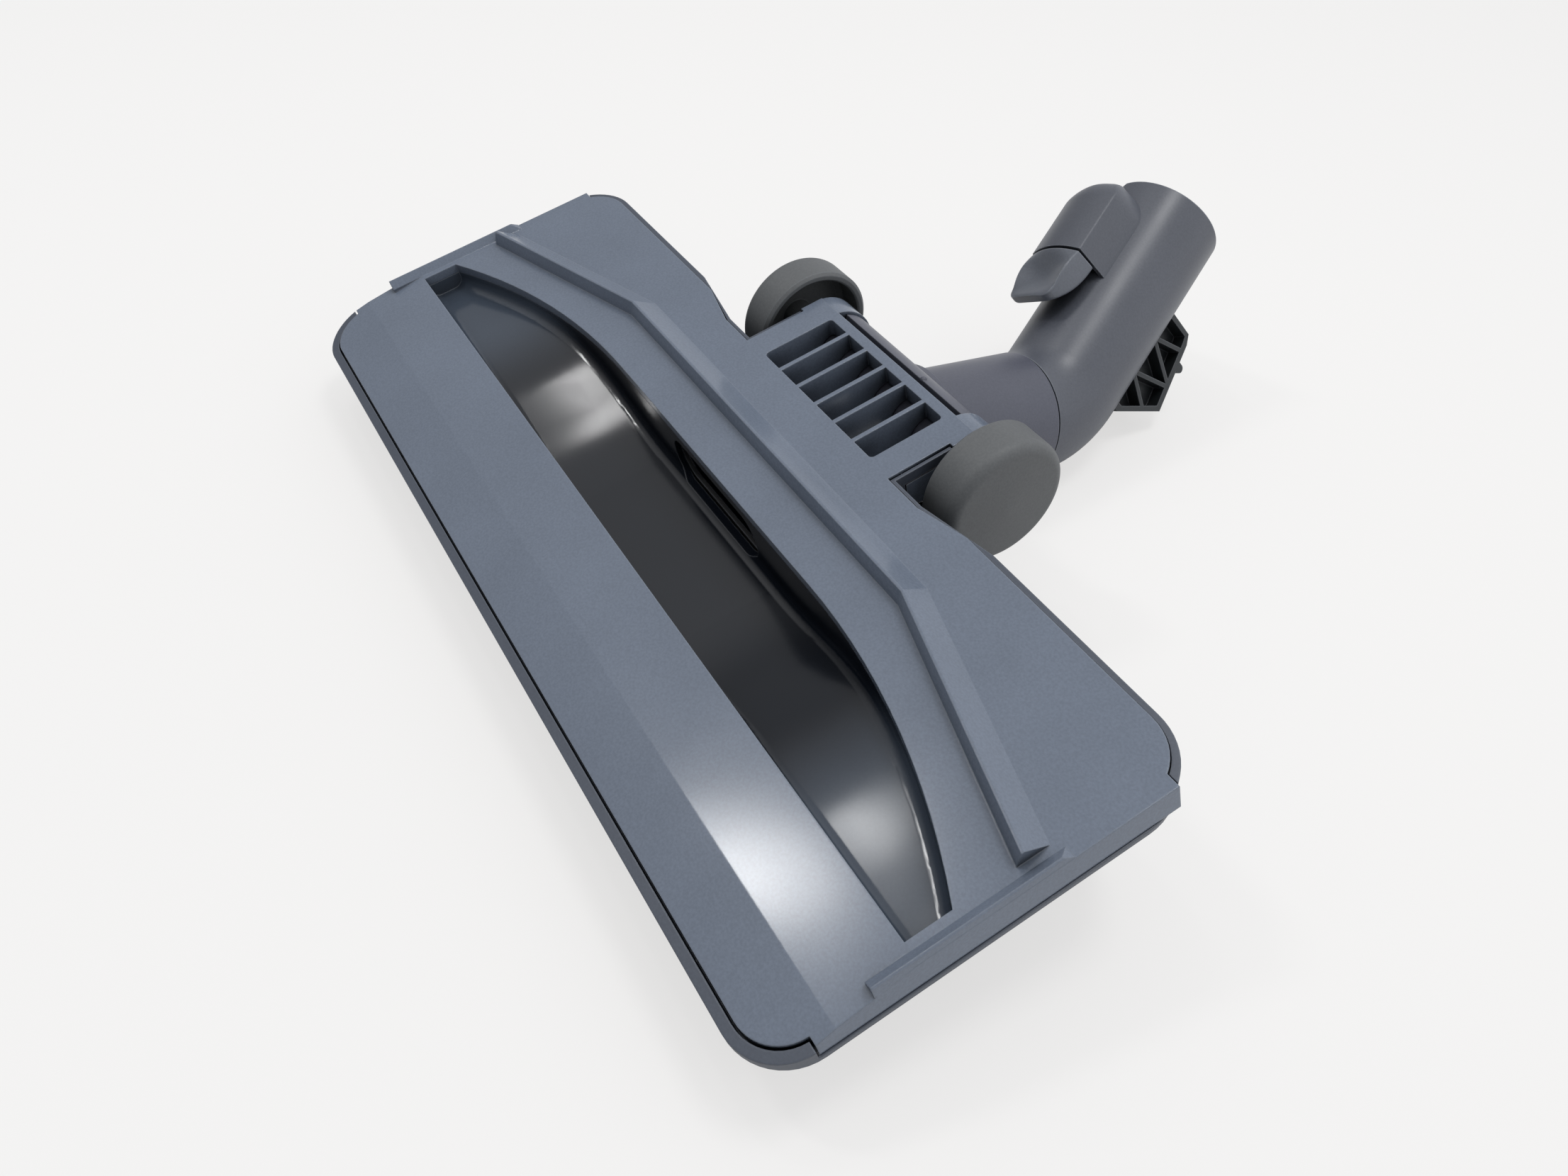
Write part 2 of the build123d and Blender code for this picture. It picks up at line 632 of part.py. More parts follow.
# ---- parking hook, in the socket's frame, on the other side of the tube ----
def parking_hook():
    inner = -17.2
    outline = [(hook_front, inner), (hook_front - 0.2, hook_outer_front + 1.8), (hook_front - 3.3, hook_outer_front),
               (hook_knee, hook_outer_back), (hook_back, -20.9), (hook_back, inner)]
    body = across(outline, hook_half)
    pocket = [(hook_front - hook_plate, inner), (hook_front - hook_plate, hook_outer_front + 2.6),
              (hook_front - 4.3, hook_outer_front + hook_plate), (hook_knee + 0.6, hook_outer_back + hook_plate + 0.3),
              (hook_back + 2.4, -21.3), (hook_back + 2.4, inner)]
    hollow = across(pocket, hook_half / 2, hook_half / 2 + 0.7)
    ribs = [Pos(0, y, -26) * Rot(slant, 0, 0) * Box(20, hook_rib, 30)
            for y, slant in ((-27.5, 22), (-34.5, -24), (-41, 22), (-48.5, -28))]
    for rib in ribs:
        hollow -= rib
    body -= both_sides(hollow)
    body += rod(1.5, -hook_half, hook_half, -30.4, -33.4) + Pos(0, -30.4, -32.4) * Box(2 * hook_half, 3, 2)
    return body - pipe(elbow_radius, -80, 5)


# ---- put together, then laid on the floor ----
head_parts = {
    "sole_plate": sole_plate(),
    "upper_casing": upper_casing(),
    "channel_liner": channel_liner(),
    "suction_duct": suction_duct(),
    "duct_gasket": duct_gasket(),
    "neck_bellows": neck_bellows(),
    "axle_rod": rod(axle_radius, -axle_half, axle_half, axle_y, axle_z),
    "axle_bushes": axle_bushes(),
    "wheel_washers": wheel_washers(),
    "wheel_right": wheel(),
    "wheel_left": mirror(wheel(), Plane.YZ),
}
neck_parts = {"neck_barrel": neck_barrel(), "neck_tube": neck_tube()}
elbow_parts = {"elbow_tube": elbow_tube(), "swivel_ring": swivel_ring(), "swivel_seal": swivel_seal()}
socket_parts = {
    "socket_seal": socket_seal(),
    "latch_housing": latch_housing(),
    "latch_button": latch_button(),
    "latch_pin": latch_pin(),
    "latch_spring": latch_spring(),
    "parking_hook": parking_hook(),
}

pieces = dict(head_parts)
pieces |= {name: neck_place * shape for name, shape in neck_parts.items()}
pieces |= {name: elbow_place * shape for name, shape in elbow_parts.items()}
pieces |= {name: socket_place * shape for name, shape in socket_parts.items()}

tilted = {name: Rot(rest_tilt, 0, 0) * shape for name, shape in pieces.items()}
box = Compound(list(tilted.values())).bounding_box()
to_floor = Pos(-(box.min.X + box.max.X) / 2, -(box.min.Y + box.max.Y) / 2, -box.min.Z)

os.makedirs("parts", exist_ok=True)
for name, shape in tilted.items():
    export_step(to_floor * shape, f"parts/{name}.step")
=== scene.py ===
import json
from math import cos, pi, radians, sin, sqrt

import bmesh
import bpy
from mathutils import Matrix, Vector


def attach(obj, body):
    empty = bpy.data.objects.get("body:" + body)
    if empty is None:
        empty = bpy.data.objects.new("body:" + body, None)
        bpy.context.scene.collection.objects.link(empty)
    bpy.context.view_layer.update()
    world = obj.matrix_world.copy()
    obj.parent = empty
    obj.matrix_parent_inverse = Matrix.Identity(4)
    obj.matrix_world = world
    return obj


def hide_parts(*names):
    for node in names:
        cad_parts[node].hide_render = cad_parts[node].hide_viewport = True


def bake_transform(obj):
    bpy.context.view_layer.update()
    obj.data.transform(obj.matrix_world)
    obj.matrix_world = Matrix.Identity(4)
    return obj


# Canister vacuum floor head, lying sole up: moulded plastic shells, a glossy suction channel, two floor wheels,
# and a neck and elbow that end in a latched wand socket. Lengths are in metres, in the row frame.
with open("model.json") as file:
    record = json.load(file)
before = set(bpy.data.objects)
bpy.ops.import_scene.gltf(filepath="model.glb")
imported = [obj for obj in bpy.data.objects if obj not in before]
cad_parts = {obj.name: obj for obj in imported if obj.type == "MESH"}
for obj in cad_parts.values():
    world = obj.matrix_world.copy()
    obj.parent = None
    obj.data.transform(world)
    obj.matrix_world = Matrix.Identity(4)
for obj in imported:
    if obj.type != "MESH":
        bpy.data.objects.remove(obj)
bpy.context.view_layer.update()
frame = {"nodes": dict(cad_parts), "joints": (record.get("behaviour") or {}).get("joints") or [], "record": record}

# ---- Camera ----
# A small camera with a wide lens, held close over the near right-hand corner of the head.
# Its film is 36 mm wide, and its picture is a third wider than it is high.
camera = bpy.data.objects.new("camera", bpy.data.cameras.new("camera"))
bpy.context.scene.collection.objects.link(camera)
camera.data.lens = 27.2
camera.data.sensor_width = 36.0
camera.data.clip_start = 0.01
camera.location = (0.2103, -0.1709, 0.2272)
camera.rotation_euler = (radians(45.7), radians(-1.88), radians(59.21))
bpy.context.scene.camera = camera


# ---- Table top ----
# A smooth white board under soft studio light, which keeps only a faint shadow.
# It is painted, so it is matt, and the camera sees it close to white.
def linear(code, alpha=1.0):
    """An sRGB hex colour as linear values."""
    values = [int(code[i:i + 2], 16) / 255 for i in (1, 3, 5)]
    return tuple(v / 12.92 if v <= 0.04045 else ((v + 0.055) / 1.055) ** 2.4 for v in values) + (alpha,)


def node(tree, kind, inputs=None, **settings):
    """Adds a node to a tree, sets its properties, and fills or links its inputs."""
    new = tree.nodes.new(kind)
    for key, value in settings.items():
        setattr(new, key, value)
    for key, value in (inputs or {}).items():
        if isinstance(value, bpy.types.NodeSocket):
            tree.links.new(value, new.inputs[key])
        else:
            new.inputs[key].default_value = value
    return new


def new_material(name):
    material = bpy.data.materials.new(name)
    material.use_nodes = True
    material.node_tree.nodes.clear()
    return material, material.node_tree


def add_mesh(name, vertices, faces, smooth=True):
    """A mesh object at the origin, with its place in its vertices."""
    mesh = bpy.data.meshes.new(name)
    mesh.from_pydata([tuple(v) for v in vertices], [], faces)
    mesh.polygons.foreach_set("use_smooth", [smooth] * len(mesh.polygons))
    mesh.validate()
    piece = bpy.data.objects.new(name, mesh)
    bpy.context.scene.collection.objects.link(piece)
    return piece


# The share of an even white in what the camera sees of the board, which keeps it pale all over.
glow_share = 0.66
board_half = 3.0
corners = [(x * board_half, y * board_half, 0) for x, y in ((-1, -1), (1, -1), (1, 1), (-1, 1))]
board = add_mesh("table_top", corners, [(0, 1, 2, 3)], False)
paint, tree = new_material("white_board_paint")
seen = node(tree, "ShaderNodeLightPath")
matt = node(tree, "ShaderNodeBsdfDiffuse", {"Color": linear("#e6e5e3")})
glow = node(tree, "ShaderNodeEmission", {"Color": linear("#fbfaf9"), "Strength": 1.0})
share = node(tree, "ShaderNodeMath", {0: seen.outputs["Is Camera Ray"], 1: glow_share}, operation="MULTIPLY")
mixed = node(tree, "ShaderNodeMixShader", {0: share.outputs[0], 1: matt.outputs[0], 2: glow.outputs[0]})
node(tree, "ShaderNodeOutputMaterial", {"Surface": mixed.outputs[0]})
board.data.materials.append(paint)

# ---- Light ----
# A white room, brighter on the window side, behind and to the right of the head, and on the ceiling in front.
# Three ceiling lamps shine along the front strip, in the channel's ramps, and along the neck and socket.
# The camera itself sees a plain pale backdrop.
window_side, window_levels = (0.34, 0.87, 0.36), (0.16, 1.12)
ceiling_side, ceiling_level = (-0.45, -0.40, 0.80), 0.5
scene = bpy.context.scene
scene.view_settings.view_transform = "Standard"
world = bpy.data.worlds.new("studio")
scene.world = world
world.use_nodes = True
room = world.node_tree
room.nodes.clear()
look = node(room, "ShaderNodeTexCoord").outputs["Generated"]
towards = node(room, "ShaderNodeVectorMath", {0: look, 1: window_side}, operation="DOT_PRODUCT")
level = node(room, "ShaderNodeMapRange", {"Value": towards.outputs["Value"], "From Min": -0.47, "From Max": 1.0,
                                          "To Min": window_levels[0], "To Max": window_levels[1]})
above = node(room, "ShaderNodeVectorMath", {0: look, 1: ceiling_side}, operation="DOT_PRODUCT")
ceiling = node(room, "ShaderNodeMapRange", {"Value": above.outputs["Value"], "From Min": 0.72, "From Max": 1.0,
                                            "To Min": 0.0, "To Max": ceiling_level},
               interpolation_type="SMOOTHSTEP")
total = node(room, "ShaderNodeMath", {0: level.outputs[0], 1: ceiling.outputs[0]}, operation="ADD")
walls = node(room, "ShaderNodeBackground", {"Color": linear("#f6f8fc"), "Strength": total.outputs[0]})
backdrop = node(room, "ShaderNodeBackground", {"Color": linear("#f4f4f2"), "Strength": 1.0})
watched = node(room, "ShaderNodeLightPath").outputs["Is Camera Ray"]
both = node(room, "ShaderNodeMixShader", {0: watched, 1: walls.outputs[0], 2: backdrop.outputs[0]})
node(room, "ShaderNodeOutputWorld", {"Surface": both.outputs[0]})


def lamp(name, place, target, width, length, power):
    """A white oval lamp that shines from one place towards another."""
    light = bpy.data.lights.new(name, "AREA")
    light.shape = "ELLIPSE"
    light.size = width
    light.size_y = length
    light.energy = power
    holder = bpy.data.objects.new(name, light)
    scene.collection.objects.link(holder)
    holder.location = place
    aim = Vector(target) - Vector(place)
    holder.rotation_euler = aim.to_track_quat("-Z", "Y").to_euler()


lamp("front_ceiling_lamp", (-0.41, -0.46, 0.95), (0, -0.05, 0.02), 0.10, 0.22, 1.5)
lamp("middle_ceiling_lamp", (-0.34, -0.12, 0.95), (-0.05, -0.07, 0.03), 0.06, 0.14, 0.38)
lamp("rear_ceiling_lamp", (0.10, 0.20, 0.95), (-0.02, 0.10, 0.03), 0.34, 0.24, 2.2)


# ---- Moulded plastics ----
# Every shell is injection moulded. A spark-eroded tool leaves a fine grain; a polished one leaves gloss.
# Grain is drawn about twice as coarse as the real 0.3 mm, so that it shows.
mm = 0.001


def moulded(name, colour, roughness, grain_depth=0.012, speckle=0.08, edge=0.25, recess=0.55, ends=None,
            metallic=0.0):
    """One body colour with grain, pale edges, painted shade in recesses, and a second colour towards the ends if
    given.

    Grain depth is in millimetres. Speckle, edge and recess say how far grain, wear and painted shade change the
    colour.
    """
    material, tree = new_material(name)
    place = node(tree, "ShaderNodeTexCoord").outputs["Object"]
    base = linear(colour)[:3]
    # A second colour towards the ends; the channel liner uses it for a painted reflection on its ends.
    if ends:
        end_colour, from_x, to_x = ends
        sideways = node(tree, "ShaderNodeSeparateXYZ", {"Vector": place}).outputs["X"]
        out = node(tree, "ShaderNodeMath", {0: sideways}, operation="ABSOLUTE").outputs[0]
        turn = node(tree, "ShaderNodeMapRange", {"Value": out, "From Min": from_x, "From Max": to_x,
                                                 "To Min": 0.0, "To Max": 1.0},
                    interpolation_type="SMOOTHSTEP").outputs[0]
        base = node(tree, "ShaderNodeMix", {"Factor": turn, "A": linear(colour), "B": linear(end_colour)},
                    data_type="RGBA").outputs["Result"]

    # The body colour, made uneven by a cloudy mottle and by the grain, with painted shade where little light gets
    # in.
    cloud_size, grain_size, recess_reach = 28 * mm, 0.6 * mm, 9 * mm
    mottle = 0.05
    cloud = node(tree, "ShaderNodeTexNoise", {"Vector": place, "Scale": 1 / cloud_size, "Detail": 4.0})
    grain = node(tree, "ShaderNodeTexNoise", {"Vector": place, "Scale": 1 / grain_size, "Detail": 2.0})
    tone = node(tree, "ShaderNodeMapRange", {"Value": cloud.outputs["Fac"], "From Min": 0.3, "From Max": 0.7,
                                             "To Min": 1 - mottle, "To Max": 1 + mottle})
    fleck = node(tree, "ShaderNodeMapRange", {"Value": grain.outputs["Fac"], "From Min": 0.3, "From Max": 0.7,
                                              "To Min": 1 - speckle, "To Max": 1 + speckle})
    value = node(tree, "ShaderNodeMath", {0: tone.outputs[0], 1: fleck.outputs[0]}, operation="MULTIPLY")
    # Painted shade: the colour darkens in recesses, where ambient occlusion finds little open air.
    open_air = node(tree, "ShaderNodeAmbientOcclusion", {"Distance": recess_reach}, samples=6)
    painted_recess_shade = node(tree, "ShaderNodeMapRange", {
        "Value": open_air.outputs["AO"], "From Min": 0.22, "From Max": 0.72,
        "To Min": 1 - recess, "To Max": 1.0})
    shade = node(tree, "ShaderNodeMath", {0: value.outputs[0], 1: painted_recess_shade.outputs[0]}, operation="MULTIPLY")
    body = node(tree, "ShaderNodeVectorMath", {0: base, "Scale": shade.outputs[0]}, operation="SCALE")

    # Edges of about half a millimetre are rounded and rubbed paler, and the grain stands up from the surface.
    rounded = node(tree, "ShaderNodeBevel", {"Radius": 0.5 * mm}, samples=4)
    flat = node(tree, "ShaderNodeNewGeometry")
    match = node(tree, "ShaderNodeVectorMath", {0: rounded.outputs[0], 1: flat.outputs["Normal"]},
                 operation="DOT_PRODUCT")
    rubbed = node(tree, "ShaderNodeMapRange", {
        "Value": match.outputs["Value"], "From Min": 0.995, "From Max": 0.80, "To Min": 0.0, "To Max": edge})
    paler = node(tree, "ShaderNodeMix", {"Factor": rubbed.outputs[0], "A": body.outputs[0],
                                         "B": linear("#b4bac2")}, data_type="RGBA")
    sheen = node(tree, "ShaderNodeMapRange", {"Value": cloud.outputs["Fac"], "From Min": 0.3, "From Max": 0.7,
                                              "To Min": roughness * 0.9, "To Max": roughness * 1.1})
    raised = node(tree, "ShaderNodeBump", {"Height": grain.outputs["Fac"], "Distance": grain_depth * mm,
                                           "Strength": 1.0, "Normal": rounded.outputs[0]})
    surface = node(tree, "ShaderNodeBsdfPrincipled", {
        "Base Color": paler.outputs["Result"], "Roughness": sheen.outputs[0], "IOR": 1.5, "Metallic": metallic,
        "Normal": raised.outputs[0]})
    node(tree, "ShaderNodeOutputMaterial", {"Surface": surface.outputs[0]})
    return material


def finish(node_names, material):
    """Gives CAD nodes their finish."""
    for name in node_names:
        piece = frame["nodes"][name]
        piece.data.materials.clear()
        piece.data.materials.append(material)


# ---- Sole plate ----
# Blue-grey ABS, moulded in one piece with its ridge, end strips, grille and axle cheeks.
# It snaps into the casing. It is smooth and a little shiny, so it picks up the lamp along the front strip.
# Its recesses, the grille's slots most of all, get a strong painted shade.
sole_plastic = moulded("blue_grey_abs_sole", "#697280", 0.17, grain_depth=0.003, recess=0.95)
finish(["sole_plate"], sole_plastic)

# ---- Upper casing ----
# A dark grey ABS shell under the sole, moulded with a fine satin grain.
# Its rim stands round the sole, with a thin dark gap between the two.
finish(["upper_casing"], moulded("dark_grey_abs_casing", "#484e59", 0.36))

# ---- Channel liner and duct ----
# Glossy dark ABS from a polished tool, so that dust slides along it.
# Painted reflection: both ends of the channel are painted a paler blue-grey, from 74 mm out and fully by 104 mm.
painted_reflection_ends = ("#3f4752", 74 * mm, 104 * mm)
liner_plastic = moulded("polished_dark_abs", "#11151c", 0.15, grain_depth=0.0015, recess=0.4, speckle=0.03,
                        ends=painted_reflection_ends)
finish(["channel_liner", "suction_duct"], liner_plastic)

# ---- Wheels ----
# Two hollow cups of mid-grey soft-touch plastic, matt, with a fine grain all over.
# Each turns on its own end of the steel axle, outside a washer.
wheel_plastic = moulded("matt_wheel_plastic", "#5d5f60", 0.55, grain_depth=0.02)
finish(["wheel_right", "wheel_left"], wheel_plastic)

# ---- Neck ----
# A barrel that turns on the axle, welded to the tube that the elbow swivels on.
# Both are moulded in satin grey ABS with a faint violet tint.
neck_plastic = moulded("satin_grey_abs_neck", "#50525d", 0.36, grain_depth=0.015)
finish(["neck_barrel", "neck_tube"], neck_plastic)

# ---- Bellows ----
# A soft black rubber sleeve, moulded with ring-shaped folds, from the duct's port to the neck's mouth.
# It is stretched over both.
rubber = moulded("black_seal_rubber", "#1c1d1f", 0.6)
head_axis = Vector((1, 0, 0))
joints = {joint["name"]: joint for joint in frame["joints"]}
axle = Vector(joints["neck_tilt"]["pos_m"])
mounts = {mount["name"]: mount for mount in frame["record"]["mounts"]}
sole_up = Vector(mounts["sole_face"]["axis"])
sole_back = sole_up.cross(head_axis)
neck_along = Vector(joints["elbow_swivel"]["axis"])
neck_up = head_axis.cross(neck_along)
port_in_front, port_below = 34.3, 14.7
mouth_in_front, mouth_below = 3, 20
port_centre = axle - sole_back * port_in_front * mm - sole_up * port_below * mm
mouth_centre = axle - neck_along * mouth_in_front * mm - neck_up * mouth_below * mm
port_width, port_height = 45.8 * mm, 23.8 * mm
mouth_width, mouth_height = 38.8 * mm, 22.8 * mm
sleeve_corner, sleeve_wall = 6.9 * mm, 0.8 * mm
sleeve_stations, corner_points = 49, 7


def rounded_rectangle(width, height, corner, count):
    """Points round a rectangle with round corners."""
    points = []
    for turn, (side, rise) in enumerate(((1, 1), (-1, 1), (-1, -1), (1, -1))):
        for step in range(count):
            angle = (turn + step / (count - 1)) * pi / 2
            points.append((side * (width / 2 - corner) + corner * cos(angle),
                           rise * (height / 2 - corner) + corner * sin(angle)))
    return points


def skin(rings, closed):
    """Faces between rings of points, one after the other; a closed ring joins its last point to its first."""
    count = len(rings[0])
    steps = count if closed else count - 1
    return [(r * count + i, r * count + (i + 1) % count, (r + 1) * count + (i + 1) % count, (r + 1) * count + i)
            for r in range(len(rings) - 1) for i in range(steps)]


sleeve_rings = []
for station in range(sleeve_stations):
    t = station / (sleeve_stations - 1)
    centre = port_centre.lerp(mouth_centre, t)
    up = sole_up.lerp(neck_up, t).normalized()
    width = port_width + (mouth_width - port_width) * t
    height = port_height + (mouth_height - port_height) * t
    outline = rounded_rectangle(width, height, sleeve_corner, corner_points)
    sleeve_rings.append([centre + head_axis * x + up * z for x, z in outline])
sleeve = add_mesh("bellows_sleeve", [v for ring in sleeve_rings for v in ring], skin(sleeve_rings, True))
along = sleeve.data.attributes.new("along", "FLOAT", "POINT")
along.data.foreach_set("value", [i // len(sleeve_rings[0]) / (sleeve_stations - 1)
                                 for i in range(len(sleeve.data.vertices))])

folds = bpy.data.node_groups.new("bellows_folds", "GeometryNodeTree")
for socket, kind, way in (("Sleeve", "NodeSocketGeometry", "INPUT"), ("Folds", "NodeSocketFloat", "INPUT"),
                          ("Depth", "NodeSocketFloat", "INPUT"), ("Rubber", "NodeSocketMaterial", "INPUT"),
                          ("Folded", "NodeSocketGeometry", "OUTPUT")):
    folds.interface.new_socket(socket, in_out=way, socket_type=kind)
given = node(folds, "NodeGroupInput").outputs
stored = node(folds, "GeometryNodeInputNamedAttribute", {"Name": "along"}, data_type="FLOAT")
place_along = stored.outputs["Attribute"]
turns = node(folds, "ShaderNodeMath", {0: given["Folds"], 1: 2 * pi}, operation="MULTIPLY").outputs[0]
phase = node(folds, "ShaderNodeMath", {0: turns, 1: place_along}, operation="MULTIPLY").outputs[0]
wave = node(folds, "ShaderNodeMath", {0: phase}, operation="SINE").outputs[0]
half_turn = node(folds, "ShaderNodeMath", {0: place_along, 1: pi}, operation="MULTIPLY").outputs[0]
calm = node(folds, "ShaderNodeMath", {0: half_turn}, operation="SINE").outputs[0]
swell = node(folds, "ShaderNodeMath", {0: wave, 1: calm}, operation="MULTIPLY").outputs[0]
rise = node(folds, "ShaderNodeMath", {0: swell, 1: given["Depth"]}, operation="MULTIPLY").outputs[0]
outwards = node(folds, "GeometryNodeInputNormal").outputs["Normal"]
offset = node(folds, "ShaderNodeVectorMath", {0: outwards, "Scale": rise}, operation="SCALE").outputs[0]
moved = node(folds, "GeometryNodeSetPosition", {"Geometry": given["Sleeve"], "Offset": offset}).outputs[0]
real = node(folds, "GeometryNodeRealizeInstances", {"Geometry": moved}).outputs[0]
coated = node(folds, "GeometryNodeSetMaterial", {"Geometry": real, "Material": given["Rubber"]}).outputs[0]
node(folds, "NodeGroupOutput", {"Folded": coated})


def give_wall(piece, thickness, offset):
    """Gives an open skin its wall, and keeps what its modifiers made as its plain mesh."""
    wall = piece.modifiers.new("wall", "SOLIDIFY")
    wall.thickness = thickness
    wall.offset = offset
    bpy.context.view_layer.update()
    made = piece.evaluated_get(bpy.context.evaluated_depsgraph_get())
    piece.data = bpy.data.meshes.new_from_object(made)
    piece.modifiers.clear()


folding = sleeve.modifiers.new("folds", "NODES")
folding.node_group = folds
fold_sizes = {"Folds": 4.5, "Depth": 0.9 * mm, "Rubber": rubber}
for item in folds.interface.items_tree:
    if item.name in fold_sizes:
        folding[item.identifier] = fold_sizes[item.name]
give_wall(sleeve, sleeve_wall, 0)
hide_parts("neck_bellows")
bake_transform(sleeve)

# ---- Elbow ----
# A bent tube that turns on the neck, where a snap ring holds it, and that ends in the socket for the wand.
# It is moulded in the neck's ABS from another tool, a little less violet.
elbow_plastic = moulded("satin_grey_abs_elbow", "#53565e", 0.36, grain_depth=0.012, edge=0.7)
finish(["elbow_tube"], elbow_plastic)

# ---- Latch housing ----
# A hollow ABS cover, welded on the elbow's socket. Its sides are flat, its crowned top has a crisp edge, and
# its nose is round. Two lugs inside it hold the steel pin that the button turns on.
press = joints["latch_press"]
wand = mounts["wand_socket"]
across, outward = Vector(press["axis"]), Vector(wand["axis"])
latch_up = across.cross(outward)
socket_mouth = Vector(wand["pos_m"]) + outward * wand["dims"]["length_mm"] / 2 * mm
to_pin = Vector(press["pos_m"]) - socket_mouth
pin_y, pin_z = to_pin.dot(outward), to_pin.dot(latch_up)
tube_radius = 18.3 * mm
seam_y = -36.3 * mm
# Foot and crest are half widths of the cover, and roll is the radius at which its nose rolls down in front.
cover = {"foot": 10.6 * mm, "crest": 10.0 * mm, "crest_z": 27.9 * mm, "top_z": 30.1 * mm, "edge": 0.7 * mm,
         "nose_y": -6.4 * mm, "roll": 6.0 * mm, "wall": 1.4 * mm, "sunk": 0.5 * mm}
nose_start = cover["nose_y"] - cover["crest"]
soft_nose = 3.0 * mm
roll_from_z, roll_over = 17 * mm, 10 * mm


def on_socket(points):
    """Points drawn at the socket's mouth, as (across, outward, towards the latch), in the row frame."""
    return [socket_mouth + across * x + outward * y + latch_up * z for x, y, z in points]


def cover_outline(half):
    """The cover's plan at one half width: along one side, round the nose and back."""
    sides, arc = 24, 40
    points = [(half, seam_y + (nose_start - seam_y) * i / sides) for i in range(sides)]
    points += [(half * cos(pi * i / arc), nose_start + half * sin(pi * i / arc)) for i in range(arc + 1)]
    return points + [(-x, y) for x, y in reversed(points[:sides])]


def rolled(y, z):
    """The height z at y, where the nose rolls down in front. Low on the sides, it stays as it is."""
    into = y - (cover["nose_y"] - cover["roll"])
    fall = cover["roll"] - sqrt(max(cover["roll"] ** 2 - into ** 2, 0)) if into > 0 else 0
    share = min(max((z - roll_from_z) / roll_over, 0), 1)
    return z - fall * share


def edge_at(y):
    """The radius of the cover's crest: crisp along its sides, soft round its nose."""
    into = min(max((y - nose_start) / cover["crest"], 0), 1)
    return cover["edge"] + soft_nose * into * into * (3 - 2 * into)


def drawn_in(x, y, share):
    """A point of the plan's outline, drawn in towards the cover's middle line."""
    return x * share, nose_start + (y - nose_start) * share if y > nose_start else y


# Its rings go up the walls, round the crest's edge, and over the crown to the middle line.
wall_steps, edge_steps, crown_steps = 8, 6, 12
edge_turn = radians(66)
crest_line = cover_outline(cover["crest"])
cover_rings = []
for level in range(wall_steps + 1):
    t = level / wall_steps
    half = cover["foot"] + (cover["crest"] - cover["foot"]) * t
    ring = []
    for x, y in cover_outline(half):
        foot_z = sqrt(tube_radius ** 2 - min(x * x, tube_radius ** 2)) - cover["sunk"]
        ring.append((x, y, foot_z + (rolled(y, cover["crest_z"] - edge_at(y)) - foot_z) * t))
    cover_rings.append(ring)
for step in range(1, edge_steps + 1):
    angle = edge_turn * step / edge_steps
    ring = []
    for x, y in crest_line:
        new_x, new_y = drawn_in(x, y, 1 - edge_at(y) * (1 - cos(angle)) / cover["crest"])
        ring.append((new_x, new_y, rolled(new_y, cover["crest_z"] - edge_at(y) * (1 - sin(angle)))))
    cover_rings.append(ring)
for step in range(1, crown_steps + 1):
    u = 1 - step / crown_steps
    ring = []
    for x, y in crest_line:
        crown_share = 1 - edge_at(y) * (1 - cos(edge_turn)) / cover["crest"]
        crown_z = cover["crest_z"] - edge_at(y) * (1 - sin(edge_turn))
        new_x, new_y = drawn_in(x, y, crown_share * u)
        ring.append((new_x, new_y, rolled(new_y, crown_z + (cover["top_z"] - crown_z) * (1 - u * u))))
    cover_rings.append(ring)
cover_points = on_socket([point for ring in cover_rings for point in ring])
housing = add_mesh("latch_cover", cover_points, skin(cover_rings, False))


def weld(piece):
    """Joins the piece's doubled points and turns its faces outwards."""
    shell = bmesh.new()
    shell.from_mesh(piece.data)
    bmesh.ops.remove_doubles(shell, verts=shell.verts, dist=0.02 * mm)
    bmesh.ops.recalc_face_normals(shell, faces=shell.faces)
    top = max(shell.faces, key=lambda face: face.calc_center_median().dot(latch_up))
    if top.normal.dot(latch_up) < 0:
        bmesh.ops.reverse_faces(shell, faces=shell.faces)
    shell.to_mesh(piece.data)
    shell.free()


def join_inside(piece, inner):
    """Adds inner's mesh to the piece's."""
    joined = bmesh.new()
    joined.from_mesh(piece.data)
    joined.from_mesh(inner.data)
    joined.to_mesh(piece.data)
    joined.free()
    bpy.data.objects.remove(inner)


def rod_across(name, radius, from_x, to_x):
    """A closed rod on the latch pin's line."""
    sides = 32
    angles = [2 * pi * i / sides for i in range(sides)]
    rings = [[(x, pin_y + r * cos(angle), pin_z + r * sin(angle)) for angle in angles]
             for x, r in ((from_x, 0), (from_x, radius), (to_x, radius), (to_x, 0))]
    rod = add_mesh(name, on_socket([p for ring in rings for p in ring]), skin(rings, True))
    weld(rod)
    return rod


def smooth_by_angle(piece, limit=35):
    """Shades the piece smooth, with its edges sharper than limit degrees left crisp."""
    piece.data.polygons.foreach_set("use_smooth", [True] * len(piece.data.polygons))
    piece.data.set_sharp_from_angle(angle=radians(limit))


lug_radius, lug_inner, lug_outer = 2.6 * mm, 7.4 * mm, 9.2 * mm
weld(housing)
give_wall(housing, cover["wall"], -1)
for side in (-1, 1):
    join_inside(housing, rod_across("lug", lug_radius, side * lug_inner, side * lug_outer))
smooth_by_angle(housing)
housing.data.materials.append(elbow_plastic)
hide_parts("latch_housing")
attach(housing, "elbow")

# ---- Latch button ----
# The press-button behind the seam: a beak with a top dished for a finger, and an arm with the latch's nose.
# It is moulded in the elbow's ABS, a shade paler, and its rim is rubbed.
beak = {"heel": -36.95 * mm, "length": 16.6 * mm, "rim_edge": 0.6 * mm, "low_edge": 1.0 * mm, "flare": 0.5 * mm}
tip_start = 0.88


